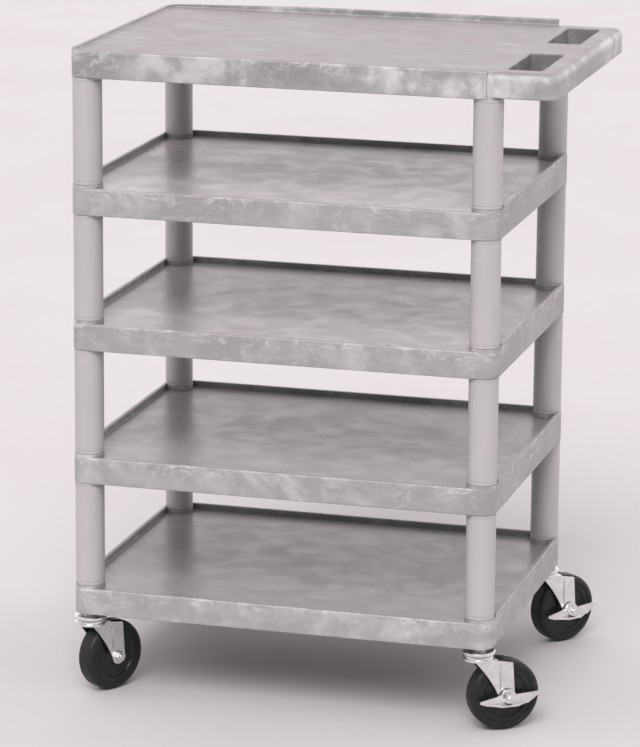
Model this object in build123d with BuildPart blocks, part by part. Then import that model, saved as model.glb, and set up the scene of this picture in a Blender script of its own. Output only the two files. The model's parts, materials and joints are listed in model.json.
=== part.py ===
"""Five-shelf utility cart: moulded shelves on plug-in tube legs, with four swivel stem casters.

Frame: +Z up, floor at z = 0, +X towards the push handle, -Y towards the open front edge of the
shelves. X = 0 and Y = 0 are at the middle of the whole footprint. All sizes are in millimetres.
"""
import os
from math import cos, radians, sin

from build123d import *

os.makedirs("parts", exist_ok=True)

# ---- driving dimensions: shelves ----
shelf_length = 609.6            # along X, without the handle
shelf_width = 457.2             # along Y
shelf_height = 38.1             # skirt, from its lower edge to the open front edge
shelf_pitch = 192.0             # from one shelf to the next
floor_clearance = 122.5         # underside of the lowest shelf
front_rim = 2.5                 # front edge above the tray surface
lip_rise = 6.4                  # retaining lip above the front edge
lip_width = 6.4
panel_thickness = 5.0
skirt_wall = 6.0
rib_thickness = 4.5
rib_inset = 3.0                 # ribs stop this far above the skirt's lower edge
rib_columns = 8                 # cells along X
rib_rows = 6                    # cells along Y
corner_radius = 21.3            # concentric with the legs
edge_round = 3.0
base_round = 1.5
lip_round = 1.8
cove_radius = 2.2               # between the tray surface and the lip
ramp_start = 18.0               # the side lips ramp down to the front edge here
ramp_length = 20.0

# ---- driving dimensions: legs ----
leg_radius = 20.5
leg_bore_radius = 16.5
neck_radius = 16.8
neck_bore_radius = 13.6
neck_length = 15.0
neck_clearance = 0.1
boss_rise = 4.0                 # leg shoulder above the front edge
boss_radius = 20.9
groove_depth = 0.6
groove_height = 1.2
groove_offset = 4.0

# ---- driving dimensions: push handle ----
handle_reach = 76.2             # beyond the shelf edge
handle_half_width = 227.0
handle_drop = 2.0               # its lower face above the skirt's lower edge
handle_rise = 1.4               # its top above the tray surface
handle_corner = 18.0
handle_round = 12.0
handle_base_round = 3.0
handle_ramp = 5.0               # bevel from the tray surface up to the handle
handle_inner_edge = 9.0         # top of that bevel, inside the shelf edge
hole_start = 0.0                # hand holes, beyond the shelf edge
hole_width = 47.0
hole_near = 49.0
hole_far = 194.0
hole_corner = 5.0
hole_round = 2.0
hole_wall = 5.0
handle_wall = 9.0
handle_skin = 8.0
step_inset = 20.3               # the handle's end faces start this far inside the shelf edge
step_radius = 19.3              # leg sockets that show under those end faces
step_boss_height = 17.5
low_lip_drop = 5.5              # top shelf: its lip is this much lower at the left end
low_lip_run = 217.0             # and reaches its full height this far along the back

# ---- driving dimensions: casters ----
wheel_radius = 50.8
tyre_width = 28.0
tyre_inner_radius = 38.6
tyre_shoulder = 7.0
trail = 36.0
sleeve_radius = 6.0
running_gap = 0.06
fit_gap = 0.02
fork_inside = 16.5              # half the distance between the fork legs
fork_metal = 2.5
axle_radius = 4.0
crown_bottom = 103.8
crown_radius = 22.4
crown_thickness = 3.0
ball_radius = 2.4
ball_ring_radius = 16.0
ball_count = 16
race_radius = 22.8
race_bottom = 114.1
race_thickness = 3.0
stem_radius = 5.55
stem_length = 36.0
king_pin_radius = 6.0
socket_radius = 7.5
tower_radius = 11.5
tower_top = 40.6                # above the lowest shelf's lower edge
foot_radius = 11.5              # rounded lower end of each fork leg
strap_top = 8.0                 # rear edge of the leg behind the axle, at its upper end
strap_head = 99.6               # height of that upper end
crown_front = 11.8              # the legs start this far ahead of the pivot
web_lead = 27.0                 # middle of the leg's curved front edge, ahead of the axle
web_rise = 27.5                 # and above it
press_lead = 10.0               # pressed groove of the leg, ahead of the axle
press_width = 4.5
press_depth = 1.2
press_foot = 6.0                # lower end of that groove above the axle
press_head = 7.0                # its upper end below the crown
race_track = 109.0              # bottom of the lower ball groove
race_rim = 110.4                # outer edge of the lower race
race_skirt = 112.4              # lower edge of the upper race's skirt
pin_head_bottom = 100.6
nut_across_flats = 12.7
nut_height = 6.0
brake_plate = 2.2
brake_gap = 0.3
pedal_drop = 10.0               # foot ledge below the axle
pedal_ledge = 13.0              # how far the ledge stands out
pedal_toe = -42.0               # front tip of the pedal, from the axle
pedal_heel = 47.0

# ---- places worked out from the dimensions above ----
leg_dx = shelf_length / 2 - corner_radius
leg_dy = shelf_width / 2 - corner_radius
tray_z = shelf_height - front_rim               # tray surface, from a shelf's lower edge
lip_z = shelf_height + lip_rise
boss_z = shelf_height + boss_rise
handle_top = tray_z + handle_rise
panel_z = tray_z - panel_thickness
leg_bottom = boss_z
leg_top = shelf_pitch
corners = {
    "front_left": (-leg_dx, -leg_dy),
    "front_right": (leg_dx, -leg_dy),
    "rear_left": (-leg_dx, leg_dy),
    "rear_right": (leg_dx, leg_dy),
}
swivel_angle = {"front_left": 60.0, "front_right": 35.0, "rear_left": 48.0, "rear_right": 50.0}
braked = ("front_right", "rear_right")


def rear_reach(corner):
    """How far a swivelled rear wheel stands behind its leg."""
    angle = radians(swivel_angle[corner])
    along = trail + wheel_radius - tyre_shoulder
    across = tyre_width / 2 - tyre_shoulder
    return along * sin(angle) + across * cos(angle) + tyre_shoulder


# the origin is the middle of the footprint, so the shelves stand off it by these amounts
rear_edge = leg_dy + max(rear_reach("rear_left"), rear_reach("rear_right"))
front_edge = -leg_dy - race_radius
left_edge = -leg_dx - race_radius
right_edge = shelf_length / 2 + handle_reach
shelf_x = -(left_edge + right_edge) / 2
shelf_y = -(front_edge + rear_edge) / 2


def finish(name, builder):
    """Label a finished piece and write it under its node name."""
    builder.part.label = name
    export_step(builder.part, f"parts/{name}.step")


def shelf_plane(base, height=0.0):
    """Horizontal plane through the middle of the shelves, height above a shelf's lower edge."""
    return Plane(origin=(shelf_x, shelf_y, base + height))


def shelf_block(base, handled):
    """Solid shelf with its rounded rim, before the tray is hollowed out above and below."""
    rounded_sides = 5 if handled else 8
    with BuildPart() as block:
        with BuildSketch(shelf_plane(base)) as outline:
            if handled:
                with Locations((-step_inset / 2, 0)):
                    Rectangle(shelf_length - step_inset, shelf_width)
                left_corners = outline.vertices().sort_by(Axis.X)[:2]
                fillet(left_corners, corner_radius)
            else:
                RectangleRounded(shelf_length, shelf_width, corner_radius)
        extrude(amount=shelf_height)
        top_edges = block.faces().sort_by(Axis.Z)[-1].outer_wire().edges()
        fillet(top_edges.sort_by(Axis.X)[:rounded_sides], edge_round)
        bottom_edges = block.faces().sort_by(Axis.Z)[0].outer_wire().edges()
        fillet(bottom_edges.sort_by(Axis.X)[:rounded_sides], base_round)
    return block.part


def retaining_lip(base, handled):
    """Lip along the back and both ends, ramped down towards the open front edge."""
    half_x = shelf_length / 2
    half_y = shelf_width / 2
    with BuildPart() as lip:
        with BuildSketch(shelf_plane(base, panel_z)):
            RectangleRounded(shelf_length, shelf_width, corner_radius)
            RectangleRounded(
                shelf_length - 2 * lip_width,
                shelf_width - 2 * lip_width,
                corner_radius - lip_width,
                mode=Mode.SUBTRACT,
            )
        extrude(amount=lip_z - panel_z)
        fillet(lip.faces().sort_by(Axis.Z)[-1].edges(), lip_round)
        end = (shelf_x - half_x - 1, shelf_y, base)
        ramp_plane = Plane(origin=end, x_dir=(0, 1, 0), z_dir=(1, 0, 0))
        with BuildSketch(ramp_plane):
            with BuildLine():
                Polyline(
                    (-half_y - 1, panel_z - 1),
                    (-half_y + ramp_start, panel_z - 1),
                    (-half_y + ramp_start, shelf_height),
                    (-half_y + ramp_start + ramp_length, lip_z + 0.5),
                    (-half_y - 1, lip_z + 0.5),
                    close=True,
                )
            make_face()
        extrude(amount=shelf_length + 2, mode=Mode.SUBTRACT)
        if handled:
            with BuildSketch(shelf_plane(base, panel_z - 1)):
                with Locations((half_x, 0)):
                    Rectangle(2 * step_inset, shelf_width + 2)
            extrude(amount=lip_z - panel_z + 2, mode=Mode.SUBTRACT)
    return lip.part


def lip_slope(base):
    """Wedge over the top shelf's left end: its lip loses height evenly towards that end."""
    left = -shelf_length / 2
    side_plane = Plane(origin=(shelf_x, shelf_y, base), x_dir=(1, 0, 0), z_dir=(0, -1, 0))
    with BuildPart() as wedge:
        with BuildSketch(side_plane):
            with BuildLine():
                Polyline(
                    (left - 1, lip_z - low_lip_drop),
                    (left, lip_z - low_lip_drop),
                    (left + low_lip_run, lip_z),
                    (left + low_lip_run, lip_z + 1),
                    (left - 1, lip_z + 1),
                    close=True,
                )
            make_face()
        extrude(amount=shelf_width / 2 + 1, both=True)
    return wedge.part


def handle_slab(base):
    """Moulded push handle, level with the tray: a hollow-backed slab with two hand holes."""
    half_x = shelf_length / 2
    inner = half_x - step_inset - 5.0
    outer = half_x + handle_reach
    bevel_top = half_x - handle_inner_edge
    hole_x = half_x + hole_start + hole_width / 2
    hole_y = (hole_near + hole_far) / 2
    hole_length = hole_far - hole_near
    with BuildPart() as slab:
        with BuildSketch(shelf_plane(base, handle_drop)) as outline:
            with Locations(((inner + outer) / 2, 0)):
                Rectangle(outer - inner, 2 * handle_half_width)
            fillet(outline.vertices().sort_by(Axis.X)[-2:], handle_corner)
        extrude(amount=handle_top - handle_drop)
        for face, rounding in ((-1, handle_round), (0, handle_base_round)):
            rim = slab.faces().sort_by(Axis.Z)[face].edges().sort_by(Axis.X)
            fillet(rim[1:], rounding)
        with BuildSketch(Plane(origin=(shelf_x, shelf_y, base), x_dir=(1, 0, 0), z_dir=(0, -1, 0))):
            with BuildLine():
                Polyline(
                    (inner - 1, tray_z),
                    (bevel_top - handle_ramp, tray_z),
                    (bevel_top, handle_top),
                    (bevel_top, handle_top + 1),
                    (inner - 1, handle_top + 1),
                    close=True,
                )
            make_face()
        extrude(amount=shelf_width / 2, both=True, mode=Mode.SUBTRACT)
        with BuildSketch(shelf_plane(base)):
            with Locations((hole_x, -hole_y), (hole_x, hole_y)):
                RectangleRounded(hole_width, hole_length, hole_corner)
        extrude(amount=handle_top + 5, mode=Mode.SUBTRACT)
        rims = slab.faces().filter_by(Plane.XY).sort_by(Axis.Z)[-1].inner_wires()
        fillet([edge for wire in rims for edge in wire.edges()], hole_round)
        with BuildSketch(shelf_plane(base)):
            with Locations(((half_x + outer) / 2, 0)):
                RectangleRounded(
                    handle_reach - 2 * handle_wall,
                    2 * (handle_half_width - handle_wall),
                    handle_corner - handle_wall,
                )
            with Locations((hole_x, -hole_y), (hole_x, hole_y)):
                RectangleRounded(
                    hole_width + 2 * hole_wall,
                    hole_length + 2 * hole_wall,
                    hole_corner + hole_wall,
                    mode=Mode.SUBTRACT,
                )
            with Locations((hole_x, 0), (outer, -hole_y), (outer, hole_y)):
                Rectangle(handle_reach, rib_thickness, mode=Mode.SUBTRACT)
        extrude(amount=handle_top - handle_skin, mode=Mode.SUBTRACT)
    return slab.part


def shelf(name, base, legs_above, legs_below, handled=False, caster_towers=False):
    """One moulded shelf: tray, skirt, ribs, and the corner sockets that the legs plug into."""
    cell_x = shelf_length / rib_columns
    cell_y = shelf_width / rib_rows
    boss_top = boss_z if legs_above else tray_z - 1
    corner_points = [(x, y) for x, y in corners.values()]
    with BuildPart() as tray:
        add(shelf_block(base, handled))
        with BuildSketch(shelf_plane(base, tray_z)):
            RectangleRounded(
                shelf_length - 2 * lip_width,
                shelf_width - 2 * lip_width,
                corner_radius - lip_width,
            )
        extrude(amount=lip_rise, mode=Mode.SUBTRACT)
        add(retaining_lip(base, handled))
        floor = max(
            (face for face in tray.faces() if abs(face.center().Z - base - tray_z) < 0.01),
            key=lambda face: face.area,
        )
        floor_edges = floor.outer_wire().edges().sort_by(Axis.X)
        fillet(floor_edges[:-1] if handled else floor_edges, cove_radius)
        if handled:
            add(lip_slope(base), mode=Mode.SUBTRACT)
            add(handle_slab(base))
        with BuildSketch(shelf_plane(base)):
            RectangleRounded(
                shelf_length - 2 * skirt_wall,
                shelf_width - 2 * skirt_wall,
                corner_radius - skirt_wall,
            )
            if handled:
                step_depth = shelf_width / 2 - handle_half_width
                with Locations(
                    (shelf_length / 2, -shelf_width / 2),
                    (shelf_length / 2, shelf_width / 2),
                ):
                    Rectangle(
                        2 * (step_inset + skirt_wall),
                        2 * (step_depth + skirt_wall),
                        mode=Mode.SUBTRACT,
                    )
        extrude(amount=panel_z, mode=Mode.SUBTRACT)
        with BuildSketch(shelf_plane(base, rib_inset)):
            with GridLocations(cell_x, 1, rib_columns - 1, 1):
                Rectangle(rib_thickness, shelf_width - 2 * skirt_wall + 1)
            with GridLocations(1, cell_y, 1, rib_rows - 1):
                Rectangle(shelf_length - 2 * skirt_wall + 1, rib_thickness)
        extrude(amount=panel_z - rib_inset + 1)
        with BuildSketch(shelf_plane(base, 0)):
            with Locations(*corner_points):
                Circle(step_radius if handled else boss_radius)
        extrude(amount=step_boss_height if handled else panel_z + 1)
        if legs_above:
            with BuildSketch(shelf_plane(base, panel_z)):
                with Locations(*corner_points):
                    Circle(boss_radius)
            extrude(amount=boss_top - panel_z)
            with BuildSketch(shelf_plane(base, boss_top)):
                with Locations(*corner_points):
                    Circle(corner_radius + 0.3)
            extrude(amount=lip_rise, mode=Mode.SUBTRACT)
            with BuildSketch(shelf_plane(base, boss_top - neck_length - 0.5)):
                with Locations(*corner_points):
                    Circle(neck_radius + neck_clearance)
            extrude(amount=neck_length + 1, mode=Mode.SUBTRACT)
        if legs_below:
            with BuildSketch(shelf_plane(base)):
                with Locations(*corner_points):
                    Circle(neck_radius + neck_clearance)
            extrude(amount=neck_length + 0.5, mode=Mode.SUBTRACT)
        if caster_towers:
            with BuildSketch(shelf_plane(base)):
                with Locations(*corner_points):
                    Circle(tower_radius)
            extrude(amount=tower_top)
            with BuildSketch(shelf_plane(base)):
                with Locations(*corner_points):
                    Circle(socket_radius + fit_gap)
            extrude(amount=stem_length + 2, mode=Mode.SUBTRACT)
    finish(name, tray)


def leg(name, x, y, base):
    """Tube leg with a reduced neck at each end; its shoulders rest on the shelf corners."""
    bottom = base + leg_bottom
    top = base + leg_top
    wall_step = 4.0
    foot = (shelf_x + x, shelf_y + y, 0)
    radial = Plane(origin=foot, x_dir=(1, 0, 0), z_dir=(0, -1, 0))
    foot_groove = bottom + groove_offset
    head_groove = top - groove_offset
    with BuildPart() as tube:
        with BuildSketch(radial):
            with BuildLine():
                Polyline(
                    (neck_bore_radius, bottom - neck_length),
                    (neck_radius, bottom - neck_length),
                    (neck_radius, bottom),
                    (leg_radius - 0.6, bottom),
                    (leg_radius, bottom + 0.6),
                    (leg_radius, foot_groove),
                    (leg_radius - groove_depth, foot_groove + groove_height / 2),
                    (leg_radius, foot_groove + groove_height),
                    (leg_radius, head_groove - groove_height),
                    (leg_radius - groove_depth, head_groove - groove_height / 2),
                    (leg_radius, head_groove),
                    (leg_radius, top - 0.6),
                    (leg_radius - 0.6, top),
                    (neck_radius, top),
                    (neck_radius, top + neck_length),
                    (neck_bore_radius, top + neck_length),
                    (neck_bore_radius, top - wall_step),
                    (leg_bore_radius, top - 2 * wall_step),
                    (leg_bore_radius, bottom + 2 * wall_step),
                    (neck_bore_radius, bottom + wall_step),
                    close=True,
                )
            make_face()
        revolve(axis=Axis(foot, (0, 0, 1)))
    finish(name, tube)


class CasterFrame:
    """Planes and axes of one caster at its swivel angle; side offsets point to the nut side."""

    def __init__(self, corner):
        x, y = corners[corner]
        angle = radians(swivel_angle[corner])
        along = Vector(cos(angle), sin(angle), 0)
        up = Vector(0, 0, 1)
        self.outward = along.cross(up)
        self.pivot = Vector(shelf_x + x, shelf_y + y, 0)
        self.axle = self.pivot + along * trail + up * wheel_radius
        self.swivel_axis = Axis(self.pivot, up)
        self.axle_axis = Axis(self.axle, self.outward)
        self.level = Plane(origin=self.pivot, x_dir=along, z_dir=up)
        self.side = Plane(origin=self.pivot, x_dir=along, z_dir=self.outward)
        self.wheel_section = Plane(origin=self.axle, x_dir=up, z_dir=along)


def tyre(corner, frame):
    """Solid rubber tyre with rounded shoulders."""
    half = tyre_width / 2
    with BuildPart() as ring:
        with BuildSketch(frame.wheel_section) as section:
            with Locations(((wheel_radius + tyre_inner_radius) / 2, 0)):
                Rectangle(wheel_radius - tyre_inner_radius, tyre_width)
            fillet(section.vertices().sort_by(Axis.X)[-2:], tyre_shoulder)
            with Locations((tyre_inner_radius, half), (tyre_inner_radius, -half)):
                Rectangle(5.0, 1.6, mode=Mode.SUBTRACT)
        revolve(axis=frame.axle_axis)
    finish(f"{corner}_tyre", ring)


def wheel_core(corner, frame):
    """Hard wheel centre: hub, dished web and the rim that carries the tyre."""
    rim = tyre_inner_radius - fit_gap
    rim_half = tyre_width / 2 - 1.0
    web_half = 10.5
    hub_half = fork_inside - 0.5
    bore = sleeve_radius + running_gap
    with BuildPart() as core:
        with BuildSketch(frame.wheel_section):
            with BuildLine():
                Polyline(
                    (bore, -hub_half),
                    (11.0, -hub_half),
                    (13.0, -web_half - 2),
                    (16.0, -web_half),
                    (31.0, -web_half),
                    (33.5, -rim_half),
                    (rim, -rim_half),
                    (rim, rim_half),
                    (33.5, rim_half),
                    (31.0, web_half),
                    (16.0, web_half),
                    (13.0, web_half + 2),
                    (11.0, hub_half),
                    (bore, hub_half),
                    close=True,
                )
            make_face()
        revolve(axis=frame.axle_axis)
    finish(f"{corner}_wheel_core", core)


def axle_sleeve(corner, frame):
    """Spacer tube that the wheel turns on, clamped between the fork legs."""
    with BuildPart() as sleeve:
        with BuildSketch(Plane(origin=frame.axle, z_dir=frame.outward)):
            Circle(sleeve_radius)
            Circle(axle_radius + fit_gap, mode=Mode.SUBTRACT)
        extrude(amount=fork_inside - fit_gap, both=True)
    finish(f"{corner}_axle_sleeve", sleeve)


def axle_bolt_and_nut(corner, frame):
    """Hex bolt through both fork legs, with its nut on the outer side."""
    shank_end = fork_inside + fork_metal + nut_height + 2.0
    nut_start = fork_inside + fork_metal + fit_gap
    if corner in braked:
        nut_start += brake_plate * 2 + brake_gap * 3
        shank_end += brake_plate * 2 + brake_gap * 3
    head_start = -(fork_inside + fork_metal + fit_gap)
    axle_plane = Plane(origin=frame.axle, z_dir=frame.outward)
    with BuildPart() as bolt:
        with BuildSketch(axle_plane.offset(head_start - 5.0)):
            RegularPolygon(nut_across_flats / 2, 6, major_radius=False)
        extrude(amount=5.0)
        with BuildSketch(axle_plane.offset(head_start - 1.0)):
            Circle(axle_radius)
        extrude(amount=shank_end - head_start + 1.0)
        chamfer(bolt.faces().sort_by(frame.axle_axis)[-1].edges(), 0.8)
    finish(f"{corner}_axle_bolt", bolt)
    with BuildPart() as nut:
        with BuildSketch(axle_plane.offset(nut_start)):
            RegularPolygon(nut_across_flats / 2, 6, major_radius=False)
            Circle(axle_radius + fit_gap, mode=Mode.SUBTRACT)
        extrude(amount=nut_height)
    finish(f"{corner}_axle_nut", nut)


def fork(corner, frame):
    """Pressed steel fork: round crown with the lower ball race, and two flared legs."""
    crown_top = crown_bottom + crown_thickness
    outer = fork_inside + fork_metal
    leg_join = crown_bottom + 0.5
    with BuildPart() as body:
        for start in (fork_inside, -outer):
            with BuildSketch(frame.side.offset(start)) as leg_face:
                with BuildLine():
                    top_front = (-crown_front, leg_join)
                    crown_back = (crown_radius - 2, leg_join)
                    top_back = (trail + strap_top, strap_head)
                    foot_back = (trail + foot_radius, wheel_radius)
                    foot_low = (trail, wheel_radius - foot_radius)
                    foot_front = (trail - foot_radius, wheel_radius)
                    Polyline(top_front, crown_back, top_back, foot_back)
                    ThreePointArc(foot_back, foot_low, foot_front)
                    web_middle = (trail - web_lead, wheel_radius + web_rise)
                    ThreePointArc(foot_front, web_middle, top_front)
                make_face()
            extrude(amount=fork_metal)
            outer_face = start if start < 0 else outer
            with BuildSketch(frame.side.offset(outer_face)):
                with BuildLine():
                    Polyline(
                        (trail - press_lead, wheel_radius + press_foot),
                        (trail - press_lead, crown_bottom - press_head),
                        (trail - press_lead - press_width, crown_bottom - press_head),
                        close=True,
                    )
                make_face()
            extrude(amount=press_depth, both=True, mode=Mode.SUBTRACT)
        with BuildSketch(frame.level.offset(crown_bottom)):
            Circle(crown_radius)
            with Locations(((crown_radius - 2 - crown_front) / 2, 0)):
                Rectangle(crown_radius - 2 + crown_front, 2 * outer)
        extrude(amount=crown_thickness)
        with BuildSketch(frame.side):
            with BuildLine():
                Polyline(
                    (ball_ring_radius - 6.0, crown_top - 0.5),
                    (ball_ring_radius + 4.2, crown_top - 0.5),
                    (ball_ring_radius + 3.8, race_rim),
                    (ball_ring_radius + 2.8, race_rim),
                    (ball_ring_radius + 1.6, race_track),
                    (ball_ring_radius - 1.6, race_track),
                    (ball_ring_radius - 3.0, race_track + 1.0),
                    (ball_ring_radius - 5.0, race_track + 1.0),
                    close=True,
                )
            make_face()
        revolve(axis=frame.swivel_axis)
        with BuildSketch(frame.level.offset(crown_bottom - 1)):
            Circle(king_pin_radius + running_gap)
        extrude(amount=12.0, mode=Mode.SUBTRACT)
        with BuildSketch(Plane(origin=frame.axle, z_dir=frame.outward)):
            Circle(axle_radius + fit_gap)
        extrude(amount=outer + 1, both=True, mode=Mode.SUBTRACT)
    finish(f"{corner}_fork", body)


def top_race(corner, frame):
    """Pressed upper race fixed to the stem, its skirt turned down over the balls."""
    race_top = race_bottom + race_thickness
    with BuildPart() as race:
        with BuildSketch(frame.side):
            with BuildLine():
                Polyline(
                    (king_pin_radius + fit_gap, race_bottom),
                    (race_radius - 1.8, race_bottom),
                    (race_radius - 1.4, race_skirt),
                    (race_radius, race_skirt),
                    (race_radius, race_top - 1.0),
                    (race_radius - 1.5, race_top),
                    (king_pin_radius + fit_gap, race_top),
                    close=True,
                )
            make_face()
        revolve(axis=frame.swivel_axis)
    finish(f"{corner}_top_race", race)


def caster_stem(corner, frame):
    """Turned stem: grip-ring groove, collar under the shelf, and the king pin with its head."""
    race_top = race_bottom + race_thickness
    groove_low = floor_clearance + stem_length - 10.0
    with BuildPart() as stem:
        with BuildSketch(frame.side):
            with BuildLine():
                Polyline(
                    (0, pin_head_bottom),
                    (7.0, pin_head_bottom),
                    (9.0, pin_head_bottom + 1.4),
                    (9.0, crown_bottom - 0.3),
                    (king_pin_radius, crown_bottom - 0.3),
                    (king_pin_radius, race_top),
                    (9.5, race_top),
                    (9.5, floor_clearance - 0.8),
                    (9.0, floor_clearance),
                    (stem_radius, floor_clearance),
                    (stem_radius, groove_low),
                    (stem_radius - 1.0, groove_low),
                    (stem_radius - 1.0, groove_low + 4.0),
                    (stem_radius, groove_low + 4.0),
                    (stem_radius, floor_clearance + stem_length - 1.5),
                    (stem_radius - 1.5, floor_clearance + stem_length),
                    (0, floor_clearance + stem_length),
                    close=True,
                )
            make_face()
        revolve(axis=frame.swivel_axis)
    finish(f"{corner}_caster_stem", stem)


def brake(corner, frame):
    """Rocker brake on the axle: a toothed friction plate and the boat-shaped pedal over it."""
    plate_start = fork_inside + fork_metal + brake_gap
    pedal_start = plate_start + brake_plate + brake_gap
    axle_plane = Plane(origin=frame.axle, x_dir=frame.level.x_dir, z_dir=frame.outward)
    with BuildPart() as plate:
        with BuildSketch(axle_plane.offset(plate_start)):
            Circle(9.5)
            with PolarLocations(9.5, 8):
                Circle(1.2, mode=Mode.SUBTRACT)
            Circle(axle_radius + fit_gap, mode=Mode.SUBTRACT)
        extrude(amount=brake_plate)
    finish(f"{corner}_brake_plate", plate)
    with BuildPart() as pedal:
        with BuildSketch(axle_plane.offset(pedal_start)):
            with BuildLine():
                Polyline(
                    (pedal_toe, -6.0),
                    (-30, -pedal_drop),
                    (30, -pedal_drop),
                    (pedal_heel, 2.5),
                    (pedal_heel, 6.0),
                    (11, 4.0),
                )
                ThreePointArc((11, 4.0), (0, 11.7), (-11, 4.0))
                Polyline((-11, 4.0), (pedal_toe, -2.5), (pedal_toe, -6.0))
            make_face()
            Circle(axle_radius + running_gap, mode=Mode.SUBTRACT)
        extrude(amount=brake_plate)
        ledge_origin = frame.axle + frame.outward * pedal_start - Vector(0, 0, pedal_drop)
        with BuildSketch(Plane(origin=ledge_origin, x_dir=frame.level.x_dir, z_dir=(0, 0, 1))):
            with BuildLine():
                Polyline((-30, 0), (30, 0), (10, -pedal_ledge), (-13, -pedal_ledge), (-30, 0))
            make_face()
        extrude(amount=brake_plate)
    finish(f"{corner}_brake_pedal", pedal)


def caster_groups(frames):
    """Pieces that are alike on all four casters and share a node as separate solids."""
    groove_middle = floor_clearance + stem_length - 8.0
    with BuildPart() as balls:
        for frame in frames.values():
            with Locations(frame.level.offset(race_bottom - ball_radius - 0.2)):
                with PolarLocations(ball_ring_radius, ball_count):
                    Sphere(ball_radius)
    finish("swivel_balls", balls)
    with BuildPart() as rings:
        for frame in frames.values():
            with BuildSketch(frame.level.offset(groove_middle - 1.5)):
                Circle(stem_radius + 0.15)
                Circle(stem_radius - 0.9, mode=Mode.SUBTRACT)
                with Locations((stem_radius, 0)):
                    Rectangle(3.0, 2.0, mode=Mode.SUBTRACT)
            extrude(amount=3.0)
    finish("stem_grip_rings", rings)
    with BuildPart() as sockets:
        for frame in frames.values():
            with BuildSketch(frame.level.offset(floor_clearance + 0.1)):
                Circle(socket_radius)
                Circle(stem_radius + 0.2, mode=Mode.SUBTRACT)
            extrude(amount=stem_length + 1.5)
    finish("caster_sockets", sockets)


shelf_bases = [floor_clearance + shelf_pitch * level for level in range(5)]
shelf("bottom_shelf", shelf_bases[0], legs_above=True, legs_below=False, caster_towers=True)
shelf("lower_shelf", shelf_bases[1], legs_above=True, legs_below=True)
shelf("middle_shelf", shelf_bases[2], legs_above=True, legs_below=True)
shelf("upper_shelf", shelf_bases[3], legs_above=True, legs_below=True)
shelf("top_shelf", shelf_bases[4], legs_above=False, legs_below=True, handled=True)

for tier, base in enumerate(shelf_bases[:4], start=1):
    for corner, (x, y) in corners.items():
        leg(f"{corner}_leg_{tier}", x, y, base)

caster_frames = {corner: CasterFrame(corner) for corner in corners}
for corner, frame in caster_frames.items():
    tyre(corner, frame)
    wheel_core(corner, frame)
    axle_sleeve(corner, frame)
    axle_bolt_and_nut(corner, frame)
    fork(corner, frame)
    top_race(corner, frame)
    caster_stem(corner, frame)
    if corner in braked:
        brake(corner, frame)
caster_groups(caster_frames)
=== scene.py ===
"""Looks for the five-shelf utility cart: moulded plastic, zinc plate and rubber, studio and camera.

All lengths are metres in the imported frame: +Z up, +X towards the push handle, -Y towards the open
front edge of the shelves. The CAD nodes keep their shapes; this script gives them their surfaces.
"""
import json
import math

import bpy
from mathutils import Matrix, Vector


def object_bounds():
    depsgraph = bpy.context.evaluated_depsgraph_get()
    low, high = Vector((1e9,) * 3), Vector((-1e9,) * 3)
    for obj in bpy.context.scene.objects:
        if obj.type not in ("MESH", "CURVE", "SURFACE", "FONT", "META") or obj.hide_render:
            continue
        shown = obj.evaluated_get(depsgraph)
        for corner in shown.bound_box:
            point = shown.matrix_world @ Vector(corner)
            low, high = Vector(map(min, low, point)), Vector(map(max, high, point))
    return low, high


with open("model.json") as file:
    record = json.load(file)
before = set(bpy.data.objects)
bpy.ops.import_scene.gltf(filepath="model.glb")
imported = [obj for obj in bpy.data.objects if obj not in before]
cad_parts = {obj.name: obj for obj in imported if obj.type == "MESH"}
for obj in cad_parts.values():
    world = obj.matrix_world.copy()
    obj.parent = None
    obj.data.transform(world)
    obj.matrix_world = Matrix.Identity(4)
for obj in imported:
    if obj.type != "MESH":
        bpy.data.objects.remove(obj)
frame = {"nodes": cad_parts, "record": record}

MM = 0.001
cad_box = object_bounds()


# ---- node trees ----

class Tree:
    """A node tree, with short calls for the nodes that surfaces and the sky have in common."""

    def __init__(self, owner):
        owner.use_nodes = True
        self.nodes = owner.node_tree.nodes
        self.links = owner.node_tree.links
        self.coordinates = self.nodes.new("ShaderNodeTexCoord").outputs

    def feed(self, socket, value):
        """Link an output to a socket, or set the socket's own value."""
        if isinstance(value, bpy.types.NodeSocket):
            self.links.new(value, socket)
        else:
            socket.default_value = value

    def maths(self, operation, a, b=0.0, clamp=False):
        node = self.nodes.new("ShaderNodeMath")
        node.operation = operation
        node.use_clamp = clamp
        self.feed(node.inputs[0], a)
        self.feed(node.inputs[1], b)
        return node.outputs[0]

    def vector(self, operation, a, b=(0.0, 0.0, 0.0)):
        node = self.nodes.new("ShaderNodeVectorMath")
        node.operation = operation
        self.feed(node.inputs[0], a)
        self.feed(node.inputs[1], b)
        return node.outputs["Value" if operation == "DOT_PRODUCT" else "Vector"]

    def remap(self, value, low, high, to_low=0.0, to_high=1.0):
        """Smooth step of value from low..high to to_low..to_high."""
        node = self.nodes.new("ShaderNodeMapRange")
        node.interpolation_type = "SMOOTHSTEP"
        self.feed(node.inputs["Value"], value)
        node.inputs["From Min"].default_value = low
        node.inputs["From Max"].default_value = high
        node.inputs["To Min"].default_value = to_low
        node.inputs["To Max"].default_value = to_high
        return node.outputs["Result"]

    def split(self, value):
        """X, Y and Z of a vector."""
        node = self.nodes.new("ShaderNodeSeparateXYZ")
        self.links.new(value, node.inputs[0])
        return node.outputs

    def blend(self, share, a, b):
        """Colour that goes from a to b as share goes from 0 to 1."""
        node = self.nodes.new("ShaderNodeMix")
        node.data_type = "RGBA"
        self.feed(node.inputs["Factor"], share)
        self.feed(node.inputs["A"], a)
        self.feed(node.inputs["B"], b)
        return node.outputs["Result"]


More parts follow.
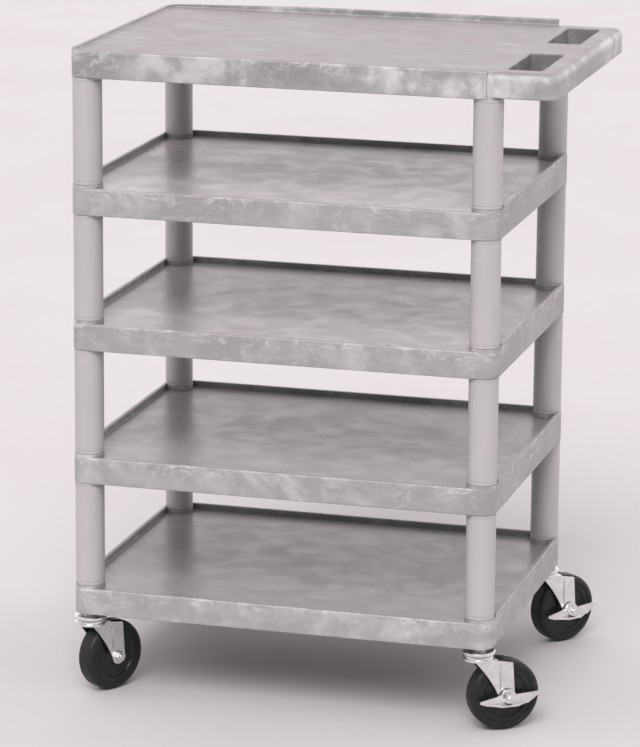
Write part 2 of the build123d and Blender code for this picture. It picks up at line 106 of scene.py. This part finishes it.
class Surface(Tree):
    """One Principled material: its pattern noises, wear and painted-shade masks and relief."""

    def __init__(self, name):
        self.material = bpy.data.materials.new(name)
        super().__init__(self.material)
        self.shader = self.nodes["Principled BSDF"]
        self.position = self.coordinates["Object"]

    def noise(self, place, scale, detail=4.0, roughness=0.55, distortion=0.0):
        node = self.nodes.new("ShaderNodeTexNoise")
        self.feed(node.inputs["Vector"], place)
        node.inputs["Scale"].default_value = scale
        node.inputs["Detail"].default_value = detail
        node.inputs["Roughness"].default_value = roughness
        node.inputs["Distortion"].default_value = distortion
        return node.outputs

    def times(self, *values):
        """Product of two or more values."""
        product = values[0]
        for value in values[1:]:
            product = self.maths("MULTIPLY", product, value)
        return product

    def near(self, place, centre, outer, inner):
        """From 0 at the outer distance from a centre to 1 at the inner one."""
        distance = self.maths("ABSOLUTE", self.maths("SUBTRACT", place, centre))
        return self.remap(distance, outer, inner)

    def facing(self, axis):
        """How far the surface faces along an axis, either way, from 0 to 1."""
        normal = self.nodes.new("ShaderNodeNewGeometry").outputs["Normal"]
        return self.maths("ABSOLUTE", self.vector("DOT_PRODUCT", normal, axis))

    def crevice(self, distance):
        """Open sky from 0 in a corner to 1 on an open face."""
        node = self.nodes.new("ShaderNodeAmbientOcclusion")
        node.samples = 8
        node.inputs["Distance"].default_value = distance
        return node.outputs["AO"]

    def relief(self, layers, edge=None):
        """Bump from (height, distance) layers, over edges softened by the given radius."""
        normal = None
        if edge:
            rounded = self.nodes.new("ShaderNodeBevel")
            rounded.samples = 4
            rounded.inputs["Radius"].default_value = edge
            normal = rounded.outputs["Normal"]
        for height, distance in layers:
            bump = self.nodes.new("ShaderNodeBump")
            bump.inputs["Distance"].default_value = distance
            self.feed(bump.inputs["Height"], height)
            if normal is not None:
                self.links.new(normal, bump.inputs["Normal"])
            normal = bump.outputs["Normal"]
        self.links.new(normal, self.shader.inputs["Normal"])


def grey(level, warmth=0.0):
    """Grey of a given linear level; warmth above 0 leans to rose, below 0 to blue-green."""
    return (level * (1 + warmth), level * (1 - warmth * 0.5), level, 1.0)


TOP_SHELF = 0.935                  # height of the top shelf's lip
TOP_BAND = (TOP_SHELF - 0.06, TOP_SHELF - 0.03)    # the finish changes between these heights
FIRST_SHELF = 0.1225               # underside of the lowest shelf
SHELF_PITCH = 0.192
WELD_X = -0.090                    # where the moulding flows met on the skirts
DULL_X = -0.020                    # middle of the dull patch right of it on the top skirt
PALE_X = -0.170                    # and of the pale patch left of it
HOLES_X = (0.266, 0.316)           # the push handle's hand holes
HOLES_Y = -0.025                   # midway between them
HOLES_REACH = 0.196                # from there to their far ends
HOLES_BOTTOM = TOP_SHELF - 0.04
ROSE_GREY = grey(0.375, 0.06)
COOL_GREY = grey(0.355, 0.005)
# painted shade: upright faces are given a darker grey than the trays
UPRIGHT_SHADE_GREY = grey(0.285, -0.005)
# painted shade on the trays, darkest under the shelves above
TRAY_SHADE_GREY = grey(0.14, 0.07)
DULL_GREY = grey(0.245, 0.0)
PALE_GREY = grey(0.60, 0.008)


# ---- finishes ----

class Foam(Surface):
    """Foamed polyethylene: soft pale blooms on grey, strongest on the skirt of the top shelf."""

    def __init__(self):
        super().__init__("structural_foam")
        self.place = self.split(self.position)
        self.level = self.remap(self.facing((0, 0, 1)), 0.6, 0.95)
        self.upright = self.maths("SUBTRACT", 1.0, self.level)
        drift = self.noise(self.position, 9.0, 3.0)["Color"]
        drift = self.vector("SUBTRACT", drift, (0.5, 0.5, 0.5))
        drift = self.vector("MULTIPLY", drift, (0.05, 0.05, 0.03))
        bent = self.vector("ADD", self.position, drift)
        streaky = self.vector("MULTIPLY", bent, (0.35, 0.8, 1.6))
        smeared = self.vector("MULTIPLY", bent, (0.45, 0.45, 1.0))
        self.zones = self.noise(bent, 5.5, 3.0, 0.5)["Fac"]
        self.blooms = self.noise(bent, 24.0, 5.0, 0.58, 0.35)["Fac"]
        self.flow = self.noise(streaky, 34.0, 4.0, 0.6, 0.5)["Fac"]
        self.flecks = self.noise(self.position, 85.0, 4.0, 0.65, 0.4)["Fac"]
        self.smears = self.noise(smeared, 80.0, 7.0, 0.74, 1.1)["Fac"]
        self.grain = self.noise(self.position, 900.0, 2.0, 0.5)["Fac"]
        self.strength = self.times(
            self.maths("ADD", self.times(self.upright, 0.82), 0.18),
            self.by_height(0.42, 1.0),
        )
        top_skirt = self.times(self.upright, self.by_height(0.0, 1.0))
        self.dull_patch = self.times(self.near(self.place["X"], DULL_X, 0.095, 0.055), top_skirt)
        self.pale_patch = self.times(self.near(self.place["X"], PALE_X, 0.12, 0.05), top_skirt)

    def by_height(self, below, on_top):
        """One value on the shelves below and another on the top shelf."""
        return self.remap(self.place["Z"], *TOP_BAND, below, on_top)

    def pale_marks(self):
        """Clouds and flecks, the pale patch, and smears rubbed along the upper edges, which also paint
        the highlight along the rounded top edges.
        """
        cloud = self.times(self.remap(self.blooms, 0.40, 0.68), self.remap(self.zones, 0.36, 0.60))
        speck = self.times(self.remap(self.flecks, 0.52, 0.72), self.remap(self.blooms, 0.40, 0.60))
        pale = self.maths("ADD", cloud, self.times(speck, 0.6))
        pale = self.maths("MULTIPLY", pale, self.strength, clamp=True)
        pale = self.times(pale, self.maths("SUBTRACT", 1.0, self.times(self.dull_patch, 0.8)))
        patch = self.times(self.pale_patch, self.remap(self.blooms, 0.34, 0.60, 0.0, 0.7))
        above_base = self.maths("SUBTRACT", self.place["Z"], FIRST_SHELF)
        up_shelf = self.maths("MODULO", above_base, SHELF_PITCH)
        # Rubbed wear along the upper edge of each skirt, which also paints the highlight along the
        # rounded top edges.
        edge_rub_and_highlight = self.times(
            self.remap(up_shelf, 0.016, 0.036, 0.35, 1.0),
            self.upright,
            self.remap(self.smears, 0.49, 0.60, 0.0, 0.75),
            self.remap(self.blooms, 0.36, 0.58, 0.15, 1.0),
        )
        return self.maths("MAXIMUM", self.maths("MAXIMUM", pale, patch), edge_rub_and_highlight)

    def dull_marks(self):
        dull = self.times(self.remap(self.zones, 0.50, 0.36), self.strength)
        return self.maths("MAXIMUM", dull, self.dull_patch)

    def shaded_trays(self):
        """Painted shade on the trays: the lower they are the darker, as under the shelves above them,
        and the top tray darker too.
        """
        shade_below = self.remap(self.place["Z"], 0.7, 0.2, 0.06, 0.60)
        return self.times(self.level, self.maths("ADD", shade_below, self.by_height(0.0, 0.58)))

    def weld_line(self):
        line = self.times(
            self.near(self.place["X"], WELD_X, 0.006, 0.001),
            self.remap(self.flecks, 0.40, 0.62),
        )
        return self.times(line, self.times(self.strength, 0.4))

    def hand_grime_and_shade(self):
        """Grime that hands leave on the walls of the handle's holes, together with painted shade for
        the deep shadow inside them.
        """
        beside = self.maths("ABSOLUTE", self.maths("SUBTRACT", self.place["Y"], HOLES_Y))
        return self.times(
            self.maths("GREATER_THAN", self.place["X"], HOLES_X[0]),
            self.maths("LESS_THAN", self.place["X"], HOLES_X[1]),
            self.maths("LESS_THAN", beside, HOLES_REACH),
            self.maths("GREATER_THAN", self.place["Z"], HOLES_BOTTOM),
            self.upright,
            self.remap(self.blooms, 0.3, 0.7, 0.75, 0.55),
        )

    def colour(self):
        streak = self.times(
            self.remap(self.flow, 0.48, 0.70),
            self.remap(self.zones, 0.30, 0.55, 0.10, 0.26),
        )
        pits = self.times(self.remap(self.smears, 0.47, 0.34), self.times(self.upright, 0.30))
        base = self.blend(self.remap(self.zones, 0.36, 0.62), ROSE_GREY, COOL_GREY)
        for share, mark in (
            # Painted shade: upright faces are given a darker grey than the trays.
            (self.times(self.upright, 0.62), UPRIGHT_SHADE_GREY),
            # Painted shade darkening the trays, most on the lowest ones under the shelves above.
            (self.shaded_trays(), TRAY_SHADE_GREY),
            (self.times(self.dull_marks(), 0.85), DULL_GREY),
            (streak, grey(0.46, 0.012)),
            (pits, grey(0.22, 0.0)),
            # Pale marks, with a painted highlight along the upper edges of the skirts.
            (self.pale_marks(), PALE_GREY),
            (self.weld_line(), grey(0.62, 0.0)),
            (self.remap(self.grain, 0.3, 0.75, 0.0, 0.10), grey(0.22, 0.02)),
            # Grime and painted shade on the walls of the hand holes.
            (self.hand_grime_and_shade(), grey(0.10, 0.05)),
            # Corners and crevices darkened by ambient occlusion: painted shade with grime.
            (self.remap(self.crevice(12 * MM), 0.25, 0.85, 0.55, 0.0), grey(0.07, 0.08)),
        ):
            base = self.blend(share, base, mark)
        return base

    def roughness(self):
        """Satin, with trays polished by use and the top tray left duller."""
        polish = self.times(self.level, self.by_height(0.11, -0.02))
        return self.maths("SUBTRACT", self.remap(self.blooms, 0.3, 0.7, 0.38, 0.50), polish)


def structural_foam():
    s = Foam()
    s.feed(s.shader.inputs["Base Color"], s.colour())
    s.feed(s.shader.inputs["Roughness"], s.roughness())
    s.shader.inputs["IOR"].default_value = 1.5
    s.relief([(s.grain, 0.03 * MM)], edge=0.7 * MM)
    return s.material


def extruded_plastic():
    """Smooth tube plastic, a little paler than the shelves, with faint drawing lines along it."""
    s = Surface("extruded_plastic")
    along = s.vector("MULTIPLY", s.position, (1.0, 1.0, 0.03))
    lines = s.noise(along, 260.0, 3.0, 0.5)["Fac"]
    clouds = s.noise(s.position, 14.0, 3.0, 0.5)["Fac"]
    grain = s.noise(s.position, 1100.0, 2.0, 0.5)["Fac"]
    base = s.blend(s.remap(clouds, 0.35, 0.65), grey(0.445, 0.03), grey(0.430, 0.01))
    base = s.blend(s.remap(lines, 0.35, 0.75, 0.0, 0.12), base, grey(0.31, 0.0))
    scuffs = s.noise(s.vector("MULTIPLY", s.position, (1.0, 1.0, 0.35)), 60.0, 6.0, 0.7, 1.0)["Fac"]
    base = s.blend(s.remap(scuffs, 0.62, 0.78, 0.0, 0.3), base, grey(0.56, 0.0))
    # Corners darkened by ambient occlusion: painted shade with grime.
    grime_and_shade = s.remap(s.crevice(4 * MM), 0.25, 0.8, 0.35, 0.0)
    s.feed(s.shader.inputs["Base Color"], s.blend(grime_and_shade, base, grey(0.12, 0.04)))
    s.feed(s.shader.inputs["Roughness"], s.remap(lines, 0.3, 0.7, 0.36, 0.48))
    s.shader.inputs["IOR"].default_value = 1.48
    s.relief([(grain, 0.03 * MM), (lines, 0.04 * MM)], edge=0.4 * MM)
    return s.material


def zinc_plate():
    """Bright zinc over pressed steel: soft reflections, faint clouding, and dark corners of painted
    shade with grime.
    """
    s = Surface("zinc_plate")
    clouds = s.noise(s.position, 70.0, 4.0, 0.55, 0.3)["Fac"]
    scratches = s.noise(s.vector("MULTIPLY", s.position, (1.0, 1.0, 0.12)), 900.0, 2.0, 0.5)["Fac"]
    base = s.blend(s.remap(clouds, 0.3, 0.7), grey(0.86, -0.005), grey(0.74, 0.005))
    base = s.blend(s.remap(scratches, 0.55, 0.8, 0.0, 0.25), base, grey(0.5, 0.0))
    # Corners darkened by ambient occlusion: painted shade with grime.
    grime_and_shade = s.remap(s.crevice(3 * MM), 0.2, 0.8, 0.55, 0.0)
    s.feed(s.shader.inputs["Base Color"], s.blend(grime_and_shade, base, grey(0.08, 0.05)))
    s.shader.inputs["Metallic"].default_value = 1.0
    s.feed(s.shader.inputs["Roughness"], s.remap(clouds, 0.25, 0.75, 0.22, 0.36))
    s.relief([(scratches, 0.01 * MM), (clouds, 0.015 * MM)], edge=0.5 * MM)
    return s.material


def plain_steel():
    """Ground bearing steel under a film of oil."""
    s = Surface("plain_steel")
    film = s.noise(s.position, 240.0, 3.0, 0.5)["Fac"]
    base = s.blend(s.remap(film, 0.35, 0.65), grey(0.52, 0.0), grey(0.36, 0.03))
    s.feed(s.shader.inputs["Base Color"], base)
    s.shader.inputs["Metallic"].default_value = 1.0
    s.feed(s.shader.inputs["Roughness"], s.remap(film, 0.3, 0.7, 0.18, 0.32))
    s.relief([(film, 0.01 * MM)], edge=0.3 * MM)
    return s.material


def black_plastic():
    """Moulded black wheel centre with a satin skin, patches of dust, and painted shade darkening its
    corners.
    """
    s = Surface("black_plastic")
    grain = s.noise(s.position, 700.0, 3.0, 0.6)["Fac"]
    dust = s.noise(s.position, 45.0, 5.0, 0.65)["Fac"]
    base = s.blend(s.remap(dust, 0.45, 0.75, 0.0, 0.5), grey(0.012, 0.03), grey(0.026, 0.06))
    # Painted shade darkening the corners, from ambient occlusion.
    corner = s.remap(s.crevice(8 * MM), 0.3, 0.9, 0.6, 0.0)
    s.feed(s.shader.inputs["Base Color"], s.blend(corner, base, grey(0.008, 0.0)))
    s.feed(s.shader.inputs["Roughness"], s.remap(dust, 0.3, 0.7, 0.24, 0.42))
    s.shader.inputs["Specular IOR Level"].default_value = 0.35
    s.relief([(grain, 0.03 * MM)], edge=0.8 * MM)
    return s.material


def tyre_rubber():
    """Black rubber, dusty and scuffed paler where it rolls."""
    s = Surface("tyre_rubber")
    grain = s.noise(s.position, 800.0, 3.0, 0.6)["Fac"]
    dust = s.noise(s.position, 60.0, 6.0, 0.7, 0.8)["Fac"]
    base = s.blend(s.remap(dust, 0.45, 0.75, 0.0, 0.6), grey(0.010, 0.03), grey(0.034, 0.10))
    s.feed(s.shader.inputs["Base Color"], base)
    s.feed(s.shader.inputs["Roughness"], s.remap(dust, 0.3, 0.7, 0.40, 0.60))
    s.shader.inputs["Specular IOR Level"].default_value = 0.35
    s.relief([(grain, 0.06 * MM), (dust, 0.10 * MM)], edge=0.8 * MM)
    return s.material


finishes = {
    "shelf_plastic": structural_foam(),
    "leg_plastic": extruded_plastic(),
    "zinc_steel": zinc_plate(),
    "bearing_steel": plain_steel(),
    "wheel_plastic": black_plastic(),
    "tyre_rubber": tyre_rubber(),
}
for subpart in frame["record"]["subparts"]:
    mesh = frame["nodes"][subpart["node"]].data
    mesh.materials.clear()
    mesh.materials.append(finishes[subpart["material_slot"]])


# ---- floor and light ----

def pale_floor():
    """Smooth pale studio floor with the faintest mottling."""
    s = Surface("pale_floor")
    clouds = s.noise(s.position, 1.4, 5.0, 0.6)["Fac"]
    grain = s.noise(s.position, 180.0, 3.0, 0.5)["Fac"]
    base = s.blend(s.remap(clouds, 0.3, 0.7), grey(0.525, 0.02), grey(0.545, 0.012))
    s.feed(s.shader.inputs["Base Color"], base)
    s.shader.inputs["Roughness"].default_value = 0.8
    s.shader.inputs["Specular IOR Level"].default_value = 0.25
    s.relief([(grain, 0.1 * MM)])
    return s.material


def soft_sky():
    """Bright even dome, with the low part in front of the cart dimmed as by the dark of a room."""
    world = bpy.data.worlds.new("studio")
    sky = Tree(world)
    direction = sky.split(sky.coordinates["Generated"])
    level = sky.remap(sky.maths("ABSOLUTE", direction["Z"]), 0.55, 0.15)
    front = sky.maths("MULTIPLY", sky.remap(direction["Y"], -0.1, -0.8), level)
    back = sky.maths("MULTIPLY", sky.remap(direction["Y"], 0.1, 0.8), level)
    strength = sky.maths("SUBTRACT", 1.0, sky.maths("MULTIPLY", front, 0.82))
    strength = sky.maths("ADD", strength, sky.maths("MULTIPLY", back, 0.62))
    background = sky.nodes["Background"]
    background.inputs["Color"].default_value = (1.0, 0.94, 0.96, 1.0)
    sky.feed(background.inputs["Strength"], strength)
    return world


floor_half = 30.0
floor_mesh = bpy.data.meshes.new("floor")
floor_corners = [
    (-floor_half, -floor_half, 0),
    (floor_half, -floor_half, 0),
    (floor_half, floor_half, 0),
    (-floor_half, floor_half, 0),
]
floor_mesh.from_pydata(floor_corners, [], [(0, 1, 2, 3)])
floor_mesh.materials.append(pale_floor())
floor = bpy.data.objects.new("floor", floor_mesh)
bpy.context.scene.collection.objects.link(floor)

lamp = bpy.data.lights.new("key", "SUN")
lamp.energy = 2.3
lamp.angle = math.radians(32)
lamp.color = (1.0, 0.965, 0.975)
key = bpy.data.objects.new("key", lamp)
key.rotation_mode = "QUATERNION"
key.rotation_quaternion = Vector((-0.06, 0.70, -0.71)).to_track_quat("-Z", "Y")
bpy.context.scene.collection.objects.link(key)

bpy.context.scene.world = soft_sky()
bpy.context.scene.view_settings.view_transform = "Standard"


# ---- camera ----

yaw = math.radians(15.53)          # turned left of straight ahead, so the right side shows
pitch = math.radians(13.73)        # looking down
roll = math.radians(0.45)
distance = 5.513
middle = (cad_box[0] + cad_box[1]) / 2
aim = middle + Vector((-44.4, -19.4, -27.8)) * MM
forward = Vector((-math.sin(yaw) * math.cos(pitch), math.cos(yaw) * math.cos(pitch), -math.sin(pitch)))
across = Vector((math.cos(yaw), math.sin(yaw), 0.0))
upward = across.cross(forward)
right = across * math.cos(roll) + upward * math.sin(roll)
top = upward * math.cos(roll) - across * math.sin(roll)

lens = bpy.data.cameras.new("camera")
lens.sensor_width = 36.0
lens.lens = 185.0
lens.clip_end = 100.0
camera = bpy.data.objects.new("camera", lens)
camera.matrix_world = Matrix.Translation(aim - forward * distance) @ Matrix(
    (right, top, -forward)
).transposed().to_4x4()
bpy.context.scene.collection.objects.link(camera)
bpy.context.scene.camera = camera
